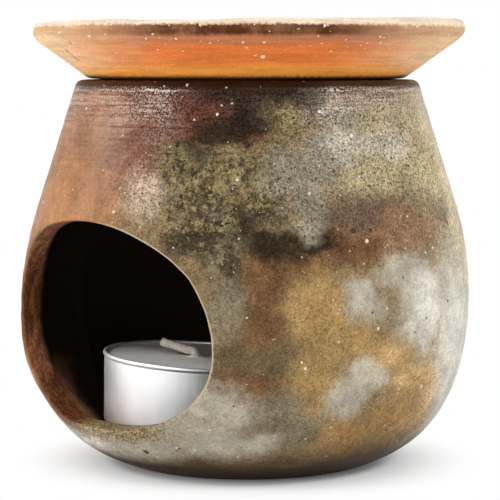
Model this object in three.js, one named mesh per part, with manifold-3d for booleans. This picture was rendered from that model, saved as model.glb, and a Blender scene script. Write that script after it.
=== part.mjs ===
import * as THREE from "three";
import { mergeVertices } from "three/addons/utils/BufferGeometryUtils.js";
import Module from "manifold-3d";

const wasm = await Module();
wasm.setup();

// Pot outside
const baseRadius = 23.8;
const footAngle = THREE.MathUtils.degToRad(15.9);
const footPull = 14.65;
const bellyRadius = 44.7;
const bellyHeight = 34.0;
const bellyPullBelow = 19.9;
const bellyPullAbove = 13.5;
const rimRadius = 34.2;
const rimHeight = 77.0;
const rimLean = THREE.MathUtils.degToRad(17.3);
const rimPull = 24.2;
const rimRound = 1.4;

// Pot wall and floor
const wall = 4.3;
const rimWall = 5.3;
const floorDip = 0.35;

// Front opening, an egg wider than high
const openingHalfWidth = 29.9;
const openingMiddle = 29.2;
const openingRise = 21.9;
const openingDrop = 19.7;
const openingTopPower = 2.0;
const openingBottomPower = 2.4;
const openingCutStart = 8;
const openingCutPast = 12;

// Dish on the pot's rim
const dishSeatGap = 0.2;
const dishRadius = 43.2;
const dishHeight = 11.3;
const dishBaseRadius = 31.6;
const dishEdgeRound = 1.0;
const dishLipHeight = 8.4;
const dishWall = 3.2;
const dishFloor = 3.6;
const dishFloorRadius = 24.0;
const dishFootDepth = 2.4;
const dishFootWidth = 3.6;
const dishFootTaper = 0.6;
const dishFootClearance = 0.8;

// Tealight
const cupRadius = 18.7;
const cupBaseRadius = 18.2;
const cupHeight = 15.4;
const cupCorner = 2.2;
const cupWall = 0.35;
const lipRadius = 0.5;
const waxBelowLip = 1.3;
const waxFill = cupHeight - waxBelowLip;
const waxGap = 0.05;
const waxMoundHeight = 1.5;
const waxMoundRadius = 3.4;
const wickRadius = 0.72;
const wickGap = 0.08;
const wickFoot = cupWall + 3 * wickGap;
const wickReach = 7.6;
const wickTipRise = 3.6;
const wickBendRise = 2.6;
const wickBendRun = 1.4;
const sustainerRadius = 6.2;
const sustainerPlate = 0.3;
const sustainerNeckRadius = 1.5;
const sustainerNeckHeight = 3.2;

// Where the tealight stands on the bowl of the floor
const tealightX = -9.7;
const tealightY = -6.8;
const tealightSeatGap = 0.3;
const leanLimit = THREE.MathUtils.degToRad(12);
const leanSteps = 240;
const wickToward = THREE.MathUtils.degToRad(-148);

// Smoothness
const potSegments = 76;
const dishSegments = 72;
const cupSegments = 48;
const curveSteps = 10;
const cornerSteps = 3;
const openingSteps = 72;

const v2 = (x, y) => new THREE.Vector2(x, y);

function revolve(profile, segments) {
  const geometry = new THREE.LatheGeometry(profile, segments);
  geometry.rotateX(Math.PI / 2);
  return outward(geometry);
}

// Signed volume of a closed mesh, negative where its faces point in
function signedVolume(geometry) {
  const position = geometry.getAttribute("position");
  const index = geometry.getIndex();
  const a = new THREE.Vector3();
  const b = new THREE.Vector3();
  const c = new THREE.Vector3();
  let sum = 0;
  for (let i = 0; i < index.count; i += 3) {
    a.fromBufferAttribute(position, index.getX(i));
    b.fromBufferAttribute(position, index.getX(i + 1));
    c.fromBufferAttribute(position, index.getX(i + 2));
    sum += a.dot(b.cross(c)) / 6;
  }
  return sum;
}

// Welds the seam and turns every face outward
function outward(geometry) {
  geometry.deleteAttribute("normal");
  geometry.deleteAttribute("uv");
  const welded = mergeVertices(geometry, 1e-4);
  const corners = Array.from(welded.getIndex().array);
  const faces = [];
  const flip = signedVolume(welded) < 0;
  for (let i = 0; i < corners.length; i += 3) {
    const [a, b, c] = corners.slice(i, i + 3);
    if (a === b || b === c || c === a) continue;
    faces.push(a, flip ? c : b, flip ? b : c);
  }
  welded.setIndex(faces);
  return welded;
}

function toManifold(geometry) {
  const vertProperties = new Float32Array(geometry.getAttribute("position").array);
  const triVerts = new Uint32Array(geometry.getIndex().array);
  return new wasm.Manifold(new wasm.Mesh({ numProp: 3, vertProperties, triVerts }));
}

function fromManifold(solid) {
  const mesh = solid.getMesh();
  const geometry = new THREE.BufferGeometry();
  geometry.setAttribute("position", new THREE.BufferAttribute(mesh.vertProperties, 3));
  geometry.setIndex(Array.from(mesh.triVerts));
  return geometry;
}

function makeNode(name, geometry, color, roughness, metalness) {
  geometry.computeVertexNormals();
  const material = new THREE.MeshStandardMaterial({ color, roughness, metalness });
  const mesh = new THREE.Mesh(geometry, material);
  mesh.name = name;
  return mesh;
}

// Outer wall from the edge of the flat base to the foot of the rim's rounding
function outerWall() {
  const belly = v2(bellyRadius, bellyHeight);
  const lower = new THREE.CubicBezierCurve(
    v2(baseRadius, 0),
    v2(baseRadius + footPull * Math.cos(footAngle), footPull * Math.sin(footAngle)),
    v2(bellyRadius, bellyHeight - bellyPullBelow),
    belly,
  );
  const rimFoot = v2(rimRadius + rimRound * Math.tan(rimLean), rimHeight - rimRound);
  const upper = new THREE.CubicBezierCurve(
    belly,
    v2(bellyRadius, bellyHeight + bellyPullAbove),
    v2(rimFoot.x + rimPull * Math.sin(rimLean), rimFoot.y - rimPull * Math.cos(rimLean)),
    rimFoot,
  );
  return lower.getPoints(curveSteps).concat(upper.getPoints(curveSteps).slice(1));
}

// The inner wall keeps its distance from the outer one and thickens toward the rim
function innerWall(outer) {
  const last = outer.length - 1;
  return outer.map((point, i) => {
    const along = outer[Math.min(i + 1, last)].clone().sub(outer[Math.max(i - 1, 0)]).normalize();
    const rise = THREE.MathUtils.smoothstep(point.y, bellyHeight, rimHeight);
    const thickness = THREE.MathUtils.lerp(wall, rimWall, rise);
    return v2(point.x - along.y * thickness, point.y + along.x * thickness);
  });
}

// Rounded corner between two straight runs, without its first point
function corner(from, tip, to) {
  return new THREE.QuadraticBezierCurve(from, tip, to).getPoints(cornerSteps).slice(1);
}

const outer = outerWall();
const inner = innerWall(outer);
const potFloor = inner[0].y - floorDip;
const innerTop = inner[inner.length - 1];
const mouthRadius = innerTop.x - (rimHeight - innerTop.y) * Math.tan(rimLean);

// Height of a line that runs outward from the axis, at a distance from the axis
function heightAt(line, radius) {
  const next = line.findIndex((point) => point.x > radius);
  if (next < 1) return undefined;
  const [a, b] = [line[next - 1], line[next]];
  return THREE.MathUtils.lerp(a.y, b.y, (radius - a.x) / (b.x - a.x));
}

// Height of the pot's inner surface above its base
function floorAt(radius) {
  return heightAt([v2(0, potFloor), ...inner], radius) ?? bellyHeight;
}

// The rim from the inner wall over its flat top to the outer wall
function rimLine() {
  const innerFoot = v2(mouthRadius + rimRound * Math.tan(rimLean), rimHeight - rimRound);
  const innerTip = v2(mouthRadius, rimHeight);
  const outerStart = v2(rimRadius - rimRound, rimHeight);
  return [
    innerFoot,
    ...corner(innerFoot, innerTip, v2(mouthRadius + rimRound, rimHeight)),
    outerStart,
    ...corner(outerStart, v2(rimRadius, rimHeight), outer[outer.length - 1]),
  ];
}

function potShell() {
  const profile = [
    v2(0, 0),
    ...outer,
    ...rimLine().reverse().slice(1),
    ...inner.slice().reverse(),
    v2(0, potFloor),
  ];
  return revolve(profile, potSegments);
}

// Angles evenly round a circle
function fullTurn(count) {
  return Array.from({ length: count }, (_, i) => (i / count) * 2 * Math.PI);
}

// Egg outline: half-width and drop or rise raised to their own powers
function eggPoint(angle) {
  const c = Math.cos(angle);
  const s = Math.sin(angle);
  const power = 2 / (s > 0 ? openingTopPower : openingBottomPower);
  const height = s > 0 ? openingRise : openingDrop;
  const across = Math.sign(c) * Math.abs(c) ** power * openingHalfWidth;
  return v2(across, openingMiddle + Math.sign(s) * Math.abs(s) ** power * height);
}

function openingCutter() {
  const outline = fullTurn(openingSteps).map(eggPoint);
  const geometry = new THREE.ExtrudeGeometry(new THREE.Shape(outline), {
    depth: bellyRadius + openingCutPast - openingCutStart,
    bevelEnabled: false,
  });
  geometry.rotateX(Math.PI / 2);
  geometry.translate(0, -openingCutStart, 0);
  return outward(geometry);
}

function burnerBody() {
  const solid = toManifold(potShell()).subtract(toManifold(openingCutter()));
  return makeNode("burner_body", fromManifold(solid), 0x9a7b55, 0.7, 0);
}

// The dish comes down until its underside stands the seat gap above the rim
function dishSeat(underside) {
  const rim = rimLine();
  const underRim = rim.map((point) => point.y - heightAt(underside, point.x));
  const overDish = underside.map((point) => heightAt(rim, point.x) - point.y);
  return Math.max(...underRim.concat(overDish).filter(Number.isFinite)) + dishSeatGap;
}

function teaDish() {
  const baseFlat = dishBaseRadius - dishEdgeRound;
  const footOuter = Math.min(mouthRadius, baseFlat) - dishFootClearance;
  const footInner = footOuter - dishFootWidth;
  const slope = v2(dishRadius - dishBaseRadius, dishLipHeight).normalize();
  const inset = v2(-slope.y, slope.x).multiplyScalar(dishWall);
  const lipInner = v2(dishRadius + inset.x, dishLipHeight + inset.y);
  const wallStart = v2(dishBaseRadius + slope.x * dishEdgeRound, slope.y * dishEdgeRound);
  const lipOut = v2(dishRadius, dishLipHeight);
  const lipTop = v2((dishRadius + lipInner.x) / 2, dishHeight);
  const lipIn = lipInner.clone().addScaledVector(slope, -dishEdgeRound);
  const bowlTurn = v2(dishFloorRadius + dishWall, dishFloor);
  const bowl = new THREE.QuadraticBezierCurve(lipIn, bowlTurn, v2(dishFloorRadius, dishFloor));
  const underside = [
    v2(footOuter, 0),
    v2(baseFlat, 0),
    ...corner(v2(baseFlat, 0), v2(dishBaseRadius, 0), wallStart),
    lipOut,
  ];
  const profile = [
    v2(0, 0),
    v2(footInner, 0),
    v2(footInner + dishFootTaper, -dishFootDepth),
    v2(footOuter - dishFootTaper, -dishFootDepth),
    ...underside,
    ...corner(lipOut, v2(dishRadius, dishHeight), lipTop),
    ...corner(lipTop, v2(lipInner.x, dishHeight), lipIn),
    ...bowl.getPoints(curveSteps).slice(1),
    v2(0, dishFloor),
  ];
  const mesh = makeNode("tea_dish", revolve(profile, dishSegments), 0xb5793f, 0.65, 0);
  mesh.position.z = dishSeat(underside);
  return mesh;
}

function tealightCup() {
  const lipHeight = cupHeight - lipRadius;
  const lipFoot = lipHeight - lipRadius;
  const lipOut = cupRadius + lipRadius;
  const inside = cupRadius - cupWall;
  const insideBase = cupBaseRadius - cupWall;
  const profile = [
    v2(0, 0),
    v2(cupBaseRadius - cupCorner, 0),
    ...corner(v2(cupBaseRadius - cupCorner, 0), v2(cupBaseRadius, 0), v2(cupBaseRadius, cupCorner)),
    v2(cupRadius, lipFoot),
    ...corner(v2(cupRadius, lipFoot), v2(lipOut, lipFoot), v2(lipOut, lipHeight)),
    ...corner(v2(lipOut, lipHeight), v2(lipOut, cupHeight), v2(cupRadius, cupHeight)),
    ...corner(v2(cupRadius, cupHeight), v2(inside, cupHeight), v2(inside, lipHeight)),
    v2(insideBase, cupCorner),
    ...corner(v2(insideBase, cupCorner), v2(insideBase, cupWall), v2(insideBase - cupCorner, cupWall)),
    v2(0, cupWall),
  ];
  return makeNode("tealight_cup", revolve(profile, cupSegments), 0xe6e6ea, 0.35, 1);
}

// Radius of the wax at a height, just clear of the tapered cup
function waxRadiusAt(height) {
  const rise = (height - cupCorner) / (cupHeight - 2 * lipRadius - cupCorner);
  return THREE.MathUtils.lerp(cupBaseRadius, cupRadius, rise) - cupWall - waxGap;
}

function tealightWax() {
  const bore = wickRadius + wickGap;
  const floor = cupWall + waxGap;
  const plateTop = floor + sustainerPlate + wickGap;
  const neckTop = floor + sustainerNeckHeight + wickGap;
  const neck = sustainerNeckRadius + wickGap;
  const plate = sustainerRadius + wickGap;
  const moundTop = v2(bore, waxFill + waxMoundHeight);
  const baseEdge = waxRadiusAt(cupCorner);
  const profile = [
    moundTop,
    v2(bore, neckTop),
    v2(neck, neckTop),
    v2(neck, plateTop),
    v2(plate, plateTop),
    v2(plate, floor),
    v2(baseEdge - cupCorner, floor),
    ...corner(v2(baseEdge - cupCorner, floor), v2(baseEdge, floor), v2(baseEdge, cupCorner)),
    v2(waxRadiusAt(waxFill), waxFill),
    v2(waxMoundRadius, waxFill),
    ...corner(v2(waxMoundRadius, waxFill), v2(bore + waxGap, waxFill), moundTop),
  ];
  return makeNode("tealight_wax", revolve(profile, cupSegments), 0xd9d7d2, 0.5, 0);
}

function wickSustainer() {
  const floor = cupWall + waxGap;
  const bore = wickRadius + wickGap;
  const profile = [
    v2(bore, floor),
    v2(sustainerRadius, floor),
    v2(sustainerRadius, floor + sustainerPlate),
    v2(sustainerNeckRadius, floor + sustainerPlate),
    v2(sustainerNeckRadius, floor + sustainerNeckHeight),
    v2(bore, floor + sustainerNeckHeight),
    v2(bore, floor),
  ];
  return makeNode("wick_sustainer", revolve(profile, cupSegments / 2), 0xb9b6ae, 0.4, 1);
}

function wick() {
  const run = (distance, height) => new THREE.Vector3(
    distance * Math.cos(wickToward),
    distance * Math.sin(wickToward),
    height,
  );
  const foot = run(0, wickFoot);
  const bendStart = run(0, waxFill + waxMoundHeight);
  const bendEnd = run(wickBendRun, waxFill + wickBendRise);
  const bendTip = run(0, waxFill + wickBendRise);
  const route = new THREE.CurvePath();
  route.add(new THREE.LineCurve3(foot, bendStart));
  route.add(new THREE.QuadraticBezierCurve3(bendStart, bendTip, bendEnd));
  route.add(new THREE.LineCurve3(bendEnd, run(wickReach, waxFill + wickTipRise)));
  const section = new THREE.Shape().absarc(0, 0, wickRadius, 0, 2 * Math.PI);
  const geometry = new THREE.ExtrudeGeometry(section, {
    steps: 2 * curveSteps,
    curveSegments: curveSteps / 2,
    extrudePath: route,
    bevelEnabled: false,
  });
  return makeNode("wick", outward(geometry), 0xd8cdb4, 0.9, 0);
}

// Points round the cup's bottom corner, where it can touch the pot
function cupCornerPoints() {
  const rings = corner(
    v2(cupBaseRadius - cupCorner, 0),
    v2(cupBaseRadius, 0),
    v2(cupBaseRadius, cupCorner),
  ).concat(v2(cupBaseRadius - cupCorner, 0));
  return rings.flatMap((ring) => fullTurn(cupSegments).map(
    (angle) => new THREE.Vector3(ring.x * Math.cos(angle), ring.x * Math.sin(angle), ring.y),
  ));
}

// The cup leans away from the pot's axis and settles where it stands lowest
function settle(group) {
  const away = new THREE.Vector2(tealightX, tealightY).normalize();
  const hinge = new THREE.Vector3(away.y, -away.x, 0);
  const points = cupCornerPoints();
  let lowest = Infinity;
  for (let i = 0; i <= leanSteps; i += 1) {
    const turn = new THREE.Quaternion().setFromAxisAngle(hinge, (leanLimit * i) / leanSteps);
    const lift = Math.max(...points.map((point) => {
      const turned = point.clone().applyQuaternion(turn);
      return floorAt(Math.hypot(turned.x + tealightX, turned.y + tealightY)) - turned.z;
    }));
    if (lift < lowest) {
      lowest = lift;
      group.quaternion.copy(turn);
    }
  }
  group.position.set(tealightX, tealightY, lowest + tealightSeatGap);
}

function tealight() {
  const group = new THREE.Group();
  group.name = "tealight";
  group.add(tealightCup(), tealightWax(), wick(), wickSustainer());
  settle(group);
  return group;
}

const burner = new THREE.Group();
burner.name = "tea_incense_burner";
burner.add(burnerBody(), teaDish(), tealight());

export default burner;
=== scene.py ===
import math
from functools import reduce
from operator import and_, or_
import bmesh
import bpy
import numpy as np
from mathutils import Euler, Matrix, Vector, noise


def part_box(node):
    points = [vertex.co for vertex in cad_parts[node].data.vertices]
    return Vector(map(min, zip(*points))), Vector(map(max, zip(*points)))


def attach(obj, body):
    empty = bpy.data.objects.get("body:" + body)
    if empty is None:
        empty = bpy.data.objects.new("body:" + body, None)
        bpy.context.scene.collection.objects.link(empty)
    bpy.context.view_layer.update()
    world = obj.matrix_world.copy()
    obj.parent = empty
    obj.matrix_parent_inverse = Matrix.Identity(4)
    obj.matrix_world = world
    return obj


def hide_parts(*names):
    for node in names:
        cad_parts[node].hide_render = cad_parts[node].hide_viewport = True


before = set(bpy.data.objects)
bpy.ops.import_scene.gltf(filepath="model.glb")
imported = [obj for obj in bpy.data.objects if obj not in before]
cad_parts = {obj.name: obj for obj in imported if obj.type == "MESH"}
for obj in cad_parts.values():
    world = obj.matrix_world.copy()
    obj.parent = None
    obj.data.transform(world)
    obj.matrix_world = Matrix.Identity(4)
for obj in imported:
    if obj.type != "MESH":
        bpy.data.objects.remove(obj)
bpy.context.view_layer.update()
mm = 0.001
print("frame loaded")


def paint(r, g, b):  # screen colour to the linear colour that shaders take
    return tuple(((c / 255 + 0.055) / 1.055) ** 2.4 for c in (r, g, b))


# shader building blocks
class Wire:  # one output socket that takes part in arithmetic
    def __init__(self, finish, socket):
        self.finish, self.socket = finish, socket

    def maths(self, operation, *values):
        return self.finish.node("ShaderNodeMath", {"operation": operation}, dict(enumerate(values)))

    def __add__(self, other): return self.maths("ADD", self, other)
    def __radd__(self, other): return self.maths("ADD", other, self)
    def __sub__(self, other): return self.maths("SUBTRACT", self, other)
    def __rsub__(self, other): return self.maths("SUBTRACT", other, self)
    def __mul__(self, other): return self.maths("MULTIPLY", self, other)
    def __rmul__(self, other): return self.maths("MULTIPLY", other, self)
    def __truediv__(self, other): return self.maths("DIVIDE", self, other)
    def __rtruediv__(self, other): return self.maths("DIVIDE", other, self)
    def __or__(self, other): return self.maths("MAXIMUM", self, other)
    def __ror__(self, other): return self.maths("MAXIMUM", other, self)
    def __and__(self, other): return self.maths("MINIMUM", self, other)
    def __rand__(self, other): return self.maths("MINIMUM", other, self)
    def __pow__(self, other): return self.maths("POWER", self, other)
    def __rpow__(self, other): return self.maths("POWER", other, self)
    def __abs__(self): return self.maths("ABSOLUTE", self)


class Finish:  # the nodes of one material, or of the world, under construction
    def __init__(self, owner):
        owner.use_nodes = True
        self.owner, self.tree = owner, owner.node_tree
        self.tree.nodes.clear()

    def node(self, kind, settings=None, inputs=None, out=0):
        made = self.tree.nodes.new(kind)
        for key, value in (settings or {}).items():
            setattr(made, key, value)
        for key, value in (inputs or {}).items():
            if isinstance(value, Wire):
                self.tree.links.new(value.socket, made.inputs[key])
            elif isinstance(value, tuple) and made.inputs[key].type == "RGBA":
                made.inputs[key].default_value = (*value, 1)
            else:
                made.inputs[key].default_value = value
        return Wire(self, made.outputs[out]) if len(made.outputs) else None

    def place(self):  # object coordinates in millimetres
        raw = self.node("ShaderNodeTexCoord", out=3)
        return self.node("ShaderNodeVectorMath", {"operation": "SCALE"}, {0: raw, "Scale": 1 / mm})

    def parts(self, at):
        return [self.node("ShaderNodeSeparateXYZ", None, {0: at}, i) for i in range(3)]

    def bearing(self, x, y):  # angle round the axis, from the side that the photograph shows
        turn = x.maths("ARCTAN2", x, 0 - y) - math.radians(pot["faces"])
        return turn.maths("WRAP", turn, math.pi, -math.pi)

    def vector(self, operation, *values, out=0):
        return self.node("ShaderNodeVectorMath", {"operation": operation}, dict(enumerate(values)), out)

    def drift(self, at, cloud, amount):  # moves a place by a coloured cloud
        return self.vector("MULTIPLY_ADD", self.vector("SUBTRACT", cloud, (0.5,) * 3), (amount,) * 3, at)

    def grain(self, at, size, detail=2.0, rough=0.5, out=0):  # cloudy noise, size in millimetres
        inputs = {"Vector": at, "Scale": 1 / size, "Detail": detail, "Roughness": rough}
        return self.node("ShaderNodeTexNoise", None, inputs, out)

    def step(self, value, low, high, to=(0.0, 1.0)):  # soft threshold
        return self.node("ShaderNodeMapRange", {"interpolation_type": "SMOOTHSTEP"},
                         {0: value, 1: low, 2: high, 3: to[0], 4: to[1]})

    def mix(self, factor, a, b, blend="MIX"):
        return self.node("ShaderNodeMix", {"data_type": "RGBA", "blend_type": blend}, {0: factor, 6: a, 7: b}, 2)

    def fade(self, value, low, high, a, b):  # one colour to another across a soft threshold
        return self.mix(self.step(value, low, high), a, b)

    def shade(self, colour, by, factor=1.0):  # darkens and lightens a colour by another
        return self.mix(factor, colour, by, "MULTIPLY")

    def dots(self, at, spacing, radius, chance, seed):  # scattered round specks, some cells left bare
        moved = self.vector("ADD", at, (seed, seed * 1.7, seed * 0.6))
        near, tint = [self.node("ShaderNodeTexVoronoi", {"feature": "F1"}, {"Vector": moved, "Scale": 1 / spacing}, i)
                      for i in range(2)]
        draw, girth = [self.node("ShaderNodeSeparateColor", None, {0: tint}, i) for i in range(2)]
        wanted = self.step(draw, 1 - chance, 1.02 - chance)
        size = radius / spacing * (0.45 + 0.9 * girth)
        return wanted * (1 - self.step(near / size, 0.7, 1.15))

    def bump(self, height, strength, distance):
        return self.node("ShaderNodeBump", None, {"Height": height, "Strength": strength, "Distance": distance})

    def surface(self, **sockets):  # principled shader, socket names with _ for spaces
        shader = self.node("ShaderNodeBsdfPrincipled", None, {k.replace("_", " "): v for k, v in sockets.items()})
        self.node("ShaderNodeOutputMaterial", None, {"Surface": shader})
        return self.owner


def newFinish(name):
    return Finish(bpy.data.materials.new(name))


# mesh building blocks
def addMesh(name, points, faces, material, body, node, masks=None):
    mesh = bpy.data.meshes.new(name)
    mesh.from_pydata([tuple(p) for p in points], [], faces)
    for key, values in (masks or {}).items():
        mesh.attributes.new(key, "FLOAT", "POINT").data.foreach_set("value", np.asarray(values, dtype=np.float32))
    work = bmesh.new()
    work.from_mesh(mesh)
    bmesh.ops.recalc_face_normals(work, faces=work.faces)
    work.to_mesh(mesh)
    work.free()
    mesh.polygons.foreach_set("use_smooth", [True] * len(mesh.polygons))
    mesh.materials.append(material)
    thing = bpy.data.objects.new(name, mesh)
    bpy.context.scene.collection.objects.link(thing)
    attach(thing, body)
    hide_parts(node)
    print("made", name, len(mesh.polygons), "faces")


def cubic(a, b, c, d, count):
    t = np.linspace(0, 1, count)[:, None]
    a, b, c, d = map(np.array, (a, b, c, d))
    return (1 - t) ** 3 * a + 3 * (1 - t) ** 2 * t * b + 3 * (1 - t) * t ** 2 * c + t ** 3 * d


def bend(a, b, c, count):
    t = np.linspace(0, 1, count)[:, None]
    a, b, c = map(np.array, (a, b, c))
    return (1 - t) ** 2 * a + 2 * (1 - t) * t * b + t ** 2 * c


def straight(a, b, count):
    return np.column_stack([np.linspace(a[0], b[0], count), np.linspace(a[1], b[1], count)])


def evenly(line, count):  # a polyline with its points spread by length
    line = np.array(line, dtype=float)
    run = np.concatenate([[0], np.cumsum(np.hypot(*np.diff(line, axis=0).T))])
    at = np.linspace(0, run[-1], count)
    return np.column_stack([np.interp(at, run, line[:, 0]), np.interp(at, run, line[:, 1])])


def spun(profile, count):  # points of a turned form, row by row; an end on the axis becomes one point
    angles = np.arange(count) / count * 2 * math.pi
    points, rows = [], []
    for r, z in profile:
        if r < 1e-6:
            rows.append([len(points)] * count)
            points.append((0, 0, z))
        else:
            rows.append(list(range(len(points), len(points) + count)))
            points += [(r * math.sin(a), -r * math.cos(a), z) for a in angles]
    return np.array(points), rows


def strips(rows):  # quads between neighbouring closed rows, triangles where a row is one point
    faces = []
    for low, high in zip(rows, rows[1:]):
        for i in range(len(low)):
            j = (i + 1) % len(low)
            ring = [low[i], low[j], high[j], high[i]]
            face = [v for n, v in enumerate(ring) if v not in ring[:n]]
            if len(face) > 2:
                faces.append(face)
    return faces


def wander(points, size, amount, seed):  # smooth uneven offset for each point
    shift = Vector((seed * 13.1, seed * 7.7, seed * 3.3))
    return np.array([noise.noise(Vector(p) / size + shift) * amount for p in points])


# camera, matched to the photograph
lookFrom = {"azimuth": 50, "distance": 444.1, "height": 80.9, "pitch": 4.936, "lens": 158.4, "aside": 0.5,
            "sensor": 36, "nearest": 0.01}


def addCamera():
    turn = math.radians(lookFrom["azimuth"])
    camera = bpy.data.objects.new("camera", bpy.data.cameras.new("camera"))
    camera.data.lens, camera.data.sensor_width = lookFrom["lens"], lookFrom["sensor"]
    right, back = Vector((math.cos(turn), math.sin(turn), 0)), Vector((math.sin(turn), -math.cos(turn), 0))
    spot = back * lookFrom["distance"] + right * lookFrom["aside"] + Vector((0, 0, lookFrom["height"]))
    camera.location = spot * mm
    camera.rotation_euler = (math.radians(90 - lookFrom["pitch"]), 0, turn)
    camera.data.clip_start = lookFrom["nearest"]
    bpy.context.scene.collection.objects.link(camera)
    bpy.context.scene.camera = camera
    print("camera set")


addCamera()


# the thrown pot, in millimetres; square and spread go by the angle round the opening, in degrees
pot = {
    "faces": 50, "baseRadius": 23.8, "footAngle": 15.9, "footPull": 14.65,
    "bellyRadius": 44.7, "bellyHeight": 34.0, "bellyPullBelow": 19.9, "bellyPullAbove": 13.5,
    "rimRadius": 34.2, "rimHeight": 77.0, "rimLean": 17.3, "rimPull": 24.2, "rimRound": 1.4,
    "wall": 4.3, "rimWall": 5.3, "floorDip": 0.35,
    "openWide": 29.9, "openMiddle": 29.2, "openRise": 21.9, "openDrop": 19.7, "topPower": 2.0, "lowPower": 2.4,
    "edgeRound": 0.7, "softEdgeRound": 1.5, "softGrow": 0.7, "softFrom": 20, "softPower": 1.5, "innerRound": 0.9,
    "edgeWaver": 0.1, "waves": [(3, 0.6, 1.0), (5, 2.1, 0.6)],
    "square": [(-180, 1.0), (-160, 1.7), (-148, 1.7), (-138, 1.12), (-125, 0.82), (-112, 0.62), (-100, 0.58),
               (-88, 0.7), (-60, 0.6), (0, 0.5), (60, 0.4), (110, 0.6), (180, 1.0)],
    "spread": [(-180, 0), (-148, 0), (-136, 0.35), (-108, 0.35), (-95, 0), (8, 0), (20, 0.4), (32, 1.05), (42, 1.0),
               (56, 0.7), (72, 0.5), (84, 0.32), (98, 0.05), (112, 0), (180, 0)],
    "flare": 2.0, "flareHeight": 21.0, "flareTall": 20.0, "flareWide": 7.0, "flareDepth": -14.0,
    "columns": 320, "rows": 120, "curvePoints": 300, "patchColumns": 53, "patchBelow": 3.2, "patchAbove": 5.0,
    "patchRings": 18, "ringCrowding": 1.7, "edgeSamples": 4001, "roundRows": 6, "cutRows": 6, "cutInside": 0.3,
    "baseRings": (0.97, 0.7, 0.35), "floorRings": (0.85, 0.6, 0.3),
    "wobble": 0.3, "ringDepth": 0.03, "ringPitch": 4.6,
}


def potCurves():  # outer and inner wall with matching points
    lean, foot = math.radians(pot["rimLean"]), math.radians(pot["footAngle"])
    belly, count = (pot["bellyRadius"], pot["bellyHeight"]), pot["curvePoints"]
    rimFoot = (pot["rimRadius"] + pot["rimRound"] * math.tan(lean), pot["rimHeight"] - pot["rimRound"])
    lower = cubic((pot["baseRadius"], 0),
                  (pot["baseRadius"] + pot["footPull"] * math.cos(foot), pot["footPull"] * math.sin(foot)),
                  (belly[0], belly[1] - pot["bellyPullBelow"]), belly, count)
    upper = cubic(belly, (belly[0], belly[1] + pot["bellyPullAbove"]),
                  (rimFoot[0] + pot["rimPull"] * math.sin(lean), rimFoot[1] - pot["rimPull"] * math.cos(lean)),
                  rimFoot, count)
    outer = evenly(np.vstack([lower, upper[1:]]), pot["rows"])
    along = np.gradient(outer, axis=0)
    along /= np.hypot(*along.T)[:, None]
    rise = np.clip((outer[:, 1] - pot["bellyHeight"]) / (pot["rimHeight"] - pot["bellyHeight"]), 0, 1)
    thick = pot["wall"] + (pot["rimWall"] - pot["wall"]) * rise ** 2 * (3 - 2 * rise)
    inner = outer + np.column_stack([-along[:, 1], along[:, 0]]) * thick[:, None]
    return outer, inner


def mouthRadius(inner):  # the inner wall carried on to the height of the rim
    return inner[-1, 0] - (pot["rimHeight"] - inner[-1, 1]) * math.tan(math.radians(pot["rimLean"]))


def eggEdge(t, grow):  # front opening seen along its cut, grown outward a little for its rounded edge
    c, s = np.cos(t), np.sin(t)
    power = 2 / np.where(s > 0, pot["topPower"], pot["lowPower"])
    reach = np.where(s > 0, pot["openRise"], pot["openDrop"])
    grow = grow + pot["edgeWaver"] * sum(share * np.sin(count * t + start) for count, start, share in pot["waves"])
    u = np.sign(c) * np.abs(c) ** power * (pot["openWide"] + grow)
    return u, pot["openMiddle"] + np.sign(s) * np.abs(s) ** power * (reach + grow)


def wallPoint(curve, angle, row):  # place on a turned wall
    steps = np.arange(len(curve))
    r, z = np.interp(row, steps, curve[:, 0]), np.interp(row, steps, curve[:, 1])
    return np.column_stack([r * np.sin(angle), -r * np.cos(angle), z])


def edgeOn(curve, t, grow):  # angle and row where the opening's edge meets a wall
    u, z = eggEdge(t, grow)
    row = np.interp(z, curve[:, 1], np.arange(len(curve)))
    r = np.interp(row, np.arange(len(curve)), curve[:, 0])
    return np.arcsin(u / r), row


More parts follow.
